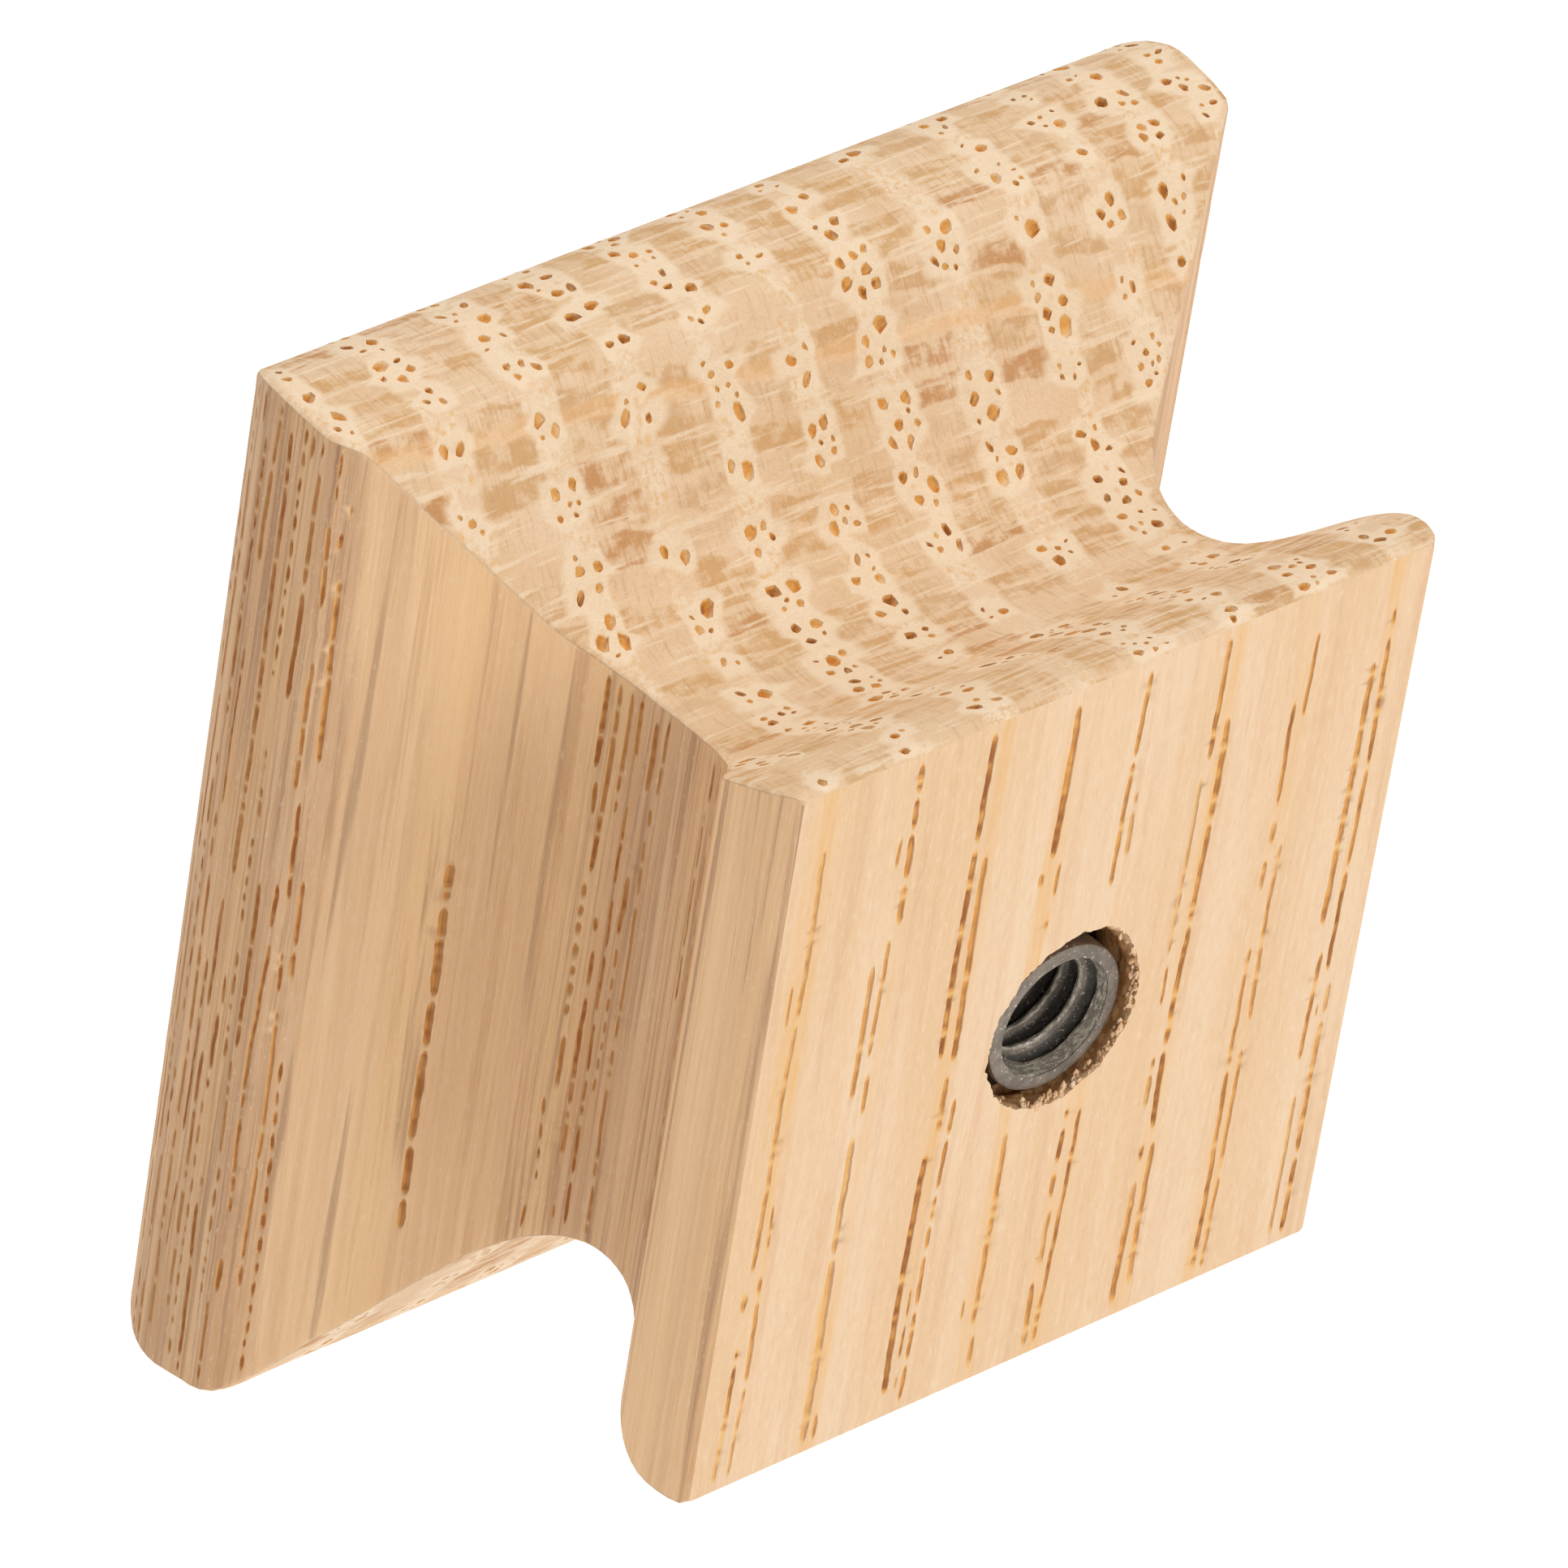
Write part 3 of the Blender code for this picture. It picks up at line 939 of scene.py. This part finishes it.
def oak_material():
    n = Nodes("oak")
    ring = n.attribute("ring")
    ray = n.attribute("ray")
    pore = n.attribute("pore")
    facing = n.node("ShaderNodeSeparateXYZ")
    n.put(facing.inputs[0], n.node("ShaderNodeTexCoord").outputs["Normal"])
    end = n.between(n.math("ABSOLUTE", facing.outputs[2]), 0.25, 0.45)
    flat = n.between(n.math("ABSOLUTE", facing.outputs[0]), 0.25, 0.7)
    long = n.math("SUBTRACT", 1.0, end)

    def share(*factors):
        result = factors[0]
        for factor in factors[1:]:
            result = n.math("MULTIPLY", result, factor)
        return result

    def waver(value, scale, size):
        offset = n.math("SUBTRACT", n.noise(scale, 3.0, 0.6), 0.5)
        return n.math("ADD", value, n.math("MULTIPLY", offset, size))

    # distance from the nearest pore band and the nearest ray, 0 on it and 0.5 midway
    ring_part = waver(ring, (1.3, 1.3, 0.1), 0.2)
    band = n.math("PINGPONG", ring_part, 0.5)
    ray_part = waver(ray, (0.5, 1.6, 0.2), 0.5)
    ray_near = n.math("PINGPONG", n.math("MULTIPLY", ray_part, 2.0), 0.5)

    # --- wood cut along the fibres ---
    broad = n.noise((0.3, 0.3, 0.03), 3.0, 0.55, 0.4)
    along = n.mix(n.between(broad, 0.35, 0.68), CREAM, HONEY)
    layers = n.random_lines(ring, 5.0, 0.012)
    along = n.mix(share(n.between(layers, 0.54, 0.72), 0.26), along, MAUVE)
    along = n.mix(share(n.between(layers, 0.48, 0.3), 0.3), along, PALE)
    thin = n.random_lines(ring, 17.0, 0.03)
    along = n.mix(share(n.between(thin, 0.57, 0.72), 0.1), along, TAN)
    smudge = n.noise((1.9, 1.9, 0.07), 3.0, 0.6, 0.4)
    along = n.mix(share(n.between(smudge, 0.53, 0.7), 0.4), along, SMUDGE)
    grain = n.noise((5.5, 5.5, 1.5), 4.0, 0.75)
    along = n.mix(share(n.between(grain, 0.5, 0.7), 0.22), along, TAN)
    along = n.mix(share(n.between(grain, 0.48, 0.32), 0.4), along, LIGHT_SPECK)
    early = n.between(band, 0.2, 0.06)
    patchy = n.between(n.noise((0.8, 0.8, 0.05), 2.0, 0.5), 0.42, 0.62)
    along = n.mix(share(early, patchy, 0.65), along, EARLY_WOOD)
    streak = n.random_lines(ring, 18.0, 0.3)
    along = n.mix(share(n.between(streak, 0.5, 0.64), early, patchy, 0.75), along, AMBER)
    wide = n.noise((0.25, 0.75, 0.022), 3.0, 0.5, 0.6)
    along = n.mix(share(flat, n.between(wide, 0.48, 0.64), 0.45), along, SIDE_BROWN)
    mauve = n.noise((0.3, 1.4, 0.03), 3.0, 0.55, 0.4)
    along = n.mix(share(flat, n.between(mauve, 0.56, 0.68), 0.45), along, SIDE_MAUVE)
    strands = n.noise((0.8, 5.5, 0.05), 3.0, 0.65, 0.3)
    along = n.mix(share(flat, n.between(strands, 0.52, 0.68), 0.45), along, STRAND_DARK)
    along = n.mix(share(flat, n.between(strands, 0.46, 0.32), 0.4), along, STRAND_LIGHT)
    along = n.mix(share(flat, n.between(wide, 0.47, 0.32), 0.6), along, SIDE_HONEY)
    lines = n.noise((0.8, 3.4, 0.05), 4.0, 0.7, 0.3)
    along = n.mix(share(flat, n.between(lines, 0.52, 0.68), 0.65), along, LINE_DARK)
    along = n.mix(share(flat, n.between(lines, 0.46, 0.34), 0.45), along, PALE)
    along = n.mix(share(flat, 0.75), along, SIDE_TINT, "MULTIPLY")
    # the outer years on the +X side are golden, and clear of the dark lines near the bands
    wavy = waver(ring, (0.5, 0.9, 0.06), 0.7)
    golden = n.math("MULTIPLY", n.between(wavy, 1.12, 1.3), n.between(wavy, 3.2, 2.5))
    along = n.mix(share(flat, golden, 0.45), along, GOLDEN)
    near_band = share(flat, n.between(band, 0.34, 0.18), n.math("SUBTRACT", 1.0, golden))
    along = n.mix(share(near_band, 0.35), along, BAND_TAN)
    shadow = n.noise((0.25, 2.3, 0.035), 3.0, 0.6, 0.5)
    along = n.mix(share(flat, n.between(shadow, 0.56, 0.68), 0.6), along, SHADOW)
    along = n.mix(share(flat, n.between(shadow, 0.42, 0.3), 0.2), along, GLOW)
    dark = n.noise((0.9, 7.5, 0.07), 4.0, 0.7, 0.2)
    along = n.mix(share(near_band, n.between(dark, 0.48, 0.64), 0.6), along, BAND_DARK)

    # --- wood cut across the fibres ---
    across = n.mix(n.between(broad, 0.3, 0.7), CREAM, END_TAN)
    cell = n.random_of(n.math("FLOOR", ring_part),
                       n.math("FLOOR", n.math("MULTIPLY", ray_part, 2.0)))
    late = n.between(band, 0.14, 0.22)
    inside_rays = n.between(ray_near, 0.05, 0.18)
    hatch = n.noise((8.0, 1.1, 0.9), 2.0, 0.6)
    cloud = n.noise((1.1, 2.4, 0.1), 3.0, 0.6)
    ragged = n.between(n.math("ADD", cloud, n.math("MULTIPLY", hatch, 0.3)), 0.48, 0.76)
    patch = share(late, inside_rays, ragged, n.between(cell, 0.0, 0.5))
    tint = n.mix(n.between(cell, 0.3, 0.75), PATCH_COOL, PATCH_WARM)
    tint = n.mix(n.between(cell, 0.86, 0.9), tint, RUST)
    across = n.mix(share(patch, 0.9), across, tint)
    across = n.mix(share(n.between(hatch, 0.5, 0.75), late, 0.5), across, TAN)
    rays = n.noise((0.35, 6.0, 0.3), 3.0, 0.6)
    across = n.mix(share(n.between(rays, 0.54, 0.68), 0.7), across, PALE)
    crumb = n.noise((5.0, 5.0, 2.0), 3.0, 0.65)
    fluff = n.between(n.noise((0.9, 1.2, 0.3), 2.0, 0.5), 0.36, 0.6)
    loose = share(n.between(band, 0.24, 0.12), fluff)
    across = n.mix(share(loose, n.between(crumb, 0.42, 0.6), 0.85), across, PALE)
    across = n.mix(share(loose, n.between(crumb, 0.43, 0.35), 0.85), across, AMBER)
    # one ray, number -10.58, is broad enough to be seen as a line
    broad_ray = n.math("ABSOLUTE", n.math("ADD", waver(ray, (0.25, 1.2, 0.2), 0.25), 10.58))
    across = n.mix(share(n.between(broad_ray, 0.2, 0.06), 0.5), across, BROAD_RAY)
    colour = n.mix(end, along, across)

    # fine fibres, seen as hair lines along the grain and as specks across it
    fibre = n.noise((7.0, 7.0, 0.22), 3.0, 0.7)
    colour = n.mix(share(n.between(fibre, 0.5, 0.8), 0.15), colour, TAN)
    dust = n.noise((9.0, 9.0, 3.0), 3.0, 0.7)
    colour = n.mix(share(n.between(dust, 0.58, 0.72), 0.35), colour, PALE)

    # round and inside the pores
    colour = n.mix(share(n.between(pore, 0.0, 0.07), n.between(pore, 0.3, 0.14), end, 0.8),
                   colour, PALE)
    mottle = n.noise((4.0, 4.0, 1.6), 2.0, 0.6)
    inner = n.mix(n.between(mottle, 0.35, 0.6), ORANGE, ORANGE_LIGHT)
    inner = n.mix(share(flat, long, 0.75), inner, SIDE_PORE)
    amber = n.mix(share(flat, long, 0.8), AMBER, SIDE_PORE_RIM)
    # in the end grain pits these steps from amber to brown also paint their shade: lit on one
    # half, dark on the other
    colour = n.mix(n.between(pore, 0.1, 0.26), colour, amber)
    colour = n.mix(n.between(pore, 0.26, 0.5), colour, inner)
    colour = n.mix(n.between(pore, 0.58, 1.0), colour, BROWN)
    # the hole's wall: darker, more orange torn wood, and partly painted shade inside the hole
    torn = n.mix(n.between(mottle, 0.4, 0.6), TORN_AND_SHADE_LIGHT, TORN_AND_SHADE_DARK)
    colour = n.mix(n.attribute("torn"), colour, torn)
    n.put(n.shader.inputs["Base Color"], colour)

    rough = n.node("ShaderNodeMapRange")
    n.put(rough.inputs["Value"], fibre)
    rough.inputs["To Min"].default_value = 0.55
    rough.inputs["To Max"].default_value = 0.75
    n.put(n.shader.inputs["Roughness"], rough.outputs[0])
    n.shader.inputs["Specular IOR Level"].default_value = 0.3

    hair = n.noise((9.0, 9.0, 0.5), 3.0, 0.7)
    coarse = n.math("ADD", n.math("MULTIPLY", crumb, end), n.math("MULTIPLY", hair, 0.6))
    n.put(n.shader.inputs["Normal"], n.bump(coarse, 0.0001, 0.7))
    return n.material


def steel_material():
    n = Nodes("steel")
    patina = n.noise((1.6, 1.6, 1.6), 4.0, 0.65)
    colour = n.mix(n.between(patina, 0.35, 0.65), STEEL_LIGHT, STEEL_DARK)
    wear_and_painted_light = n.attribute("wear_and_painted_light")
    # painted shade: the thread's roots are painted near black
    colour = n.mix(n.between(wear_and_painted_light, 0.35, 0.0), colour, THREAD_ROOT_SHADE)
    scratches = n.noise((3.5, 9.0, 3.5), 3.0, 0.7)
    # the worn thread crests and the mouth band: wear, with painted highlight and a painted
    # reflection of the wood
    bright = n.mix(n.between(scratches, 0.42, 0.6), WEAR_GLINT_DULL, WEAR_GLINT_BRIGHT)
    colour = n.mix(n.between(wear_and_painted_light, 0.75, 1.0), colour, bright)
    dust = n.noise((9.0, 9.0, 9.0), 2.0, 0.6)
    speck = n.between(dust, 0.63, 0.7)
    colour = n.mix(n.math("MULTIPLY", speck, 0.7), colour, WOOD_DUST)
    n.put(n.shader.inputs["Base Color"], colour)
    n.put(n.shader.inputs["Metallic"], n.math("SUBTRACT", 0.6, n.math("MULTIPLY", speck, 0.6)))
    rough = n.node("ShaderNodeMapRange")
    n.put(rough.inputs["Value"], patina)
    rough.inputs["To Min"].default_value = 0.25
    rough.inputs["To Max"].default_value = 0.5
    n.put(n.shader.inputs["Roughness"], rough.outputs[0])
    grit = n.noise((12.0, 12.0, 12.0), 3.0, 0.7)
    n.put(n.shader.inputs["Normal"], n.bump(grit, 0.00006, 0.7))
    return n.material


# ======================================================================================
# Stage, light and camera
# ======================================================================================
AIM = Vector((0.5, -12.0, 1.05)) * MM
DISTANCE = 449.4 * MM
AZIMUTH = math.radians(133.69)
ELEVATION = math.radians(36.03)
ROLL = math.radians(9.35)
LENS = 353.3


def direction(azimuth, elevation):
    """Unit vector from the object towards a viewer; azimuth 0 is in front, at -Y."""
    flat = math.cos(elevation)
    return Vector((math.sin(azimuth) * flat, -math.cos(azimuth) * flat, math.sin(elevation)))


def add_camera():
    data = bpy.data.cameras.new("camera")
    data.lens = LENS
    data.sensor_width = 36.0
    data.clip_start = 0.01
    camera = bpy.data.objects.new("camera", data)
    back = direction(AZIMUTH, ELEVATION)
    turn = back.to_track_quat("Z", "Y").to_matrix().to_4x4()
    roll = Matrix.Rotation(ROLL, 4, "Z")
    camera.matrix_world = Matrix.Translation(AIM + back * DISTANCE) @ turn @ roll
    bpy.context.collection.objects.link(camera)
    bpy.context.scene.camera = camera


def add_area_light(name, azimuth, elevation, distance, size, power):
    """A round lamp that faces the object; in degrees, metres and watts."""
    data = bpy.data.lights.new(name, "AREA")
    data.shape = "DISK"
    data.size = size
    data.energy = power
    light = bpy.data.objects.new(name, data)
    towards = direction(math.radians(azimuth), math.radians(elevation))
    light.matrix_world = (Matrix.Translation(towards * distance)
                          @ towards.to_track_quat("Z", "Y").to_matrix().to_4x4())
    bpy.context.collection.objects.link(light)


def add_stage():
    mesh = bpy.data.meshes.new("floor")
    size, drop = 3.0, 0.25         # metres
    mesh.from_pydata([(-size, -size, 0), (size, -size, 0), (size, size, 0), (-size, size, 0)],
                     [], [(0, 1, 2, 3)])
    floor = bpy.data.objects.new("floor", mesh)
    floor.location.z = -drop
    bpy.context.collection.objects.link(floor)
    n = Nodes("floor")
    n.shader.inputs["Base Color"].default_value = (0.93, 0.93, 0.93, 1.0)
    n.shader.inputs["Emission Color"].default_value = (1.0, 1.0, 1.0, 1.0)
    n.shader.inputs["Emission Strength"].default_value = 0.35
    n.shader.inputs["Roughness"].default_value = 0.9
    n.shader.inputs["Specular IOR Level"].default_value = 0.0
    mesh.materials.append(n.material)

    world = bpy.data.worlds.new("studio")
    world.use_nodes = True
    world.node_tree.nodes["Background"].inputs["Color"].default_value = (1.0, 0.96, 0.90, 1.0)
    world.node_tree.nodes["Background"].inputs["Strength"].default_value = 0.55
    bpy.context.scene.world = world
    bpy.context.scene.view_settings.view_transform = "Standard"


# ======================================================================================
def main():
    oak = build_oak()
    oak.data.materials.append(oak_material())
    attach(oak, "root")
    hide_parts("knob_body")

    insert = build_insert()
    insert.data.materials.append(steel_material())
    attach(insert, "root")
    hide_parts("threaded_insert")

    add_stage()
    add_area_light("front", 194.0, 22.0, 0.9, 0.5, 2.9)
    add_area_light("top", 20.0, 74.0, 0.9, 0.6, 3.6)
    add_camera()


main()
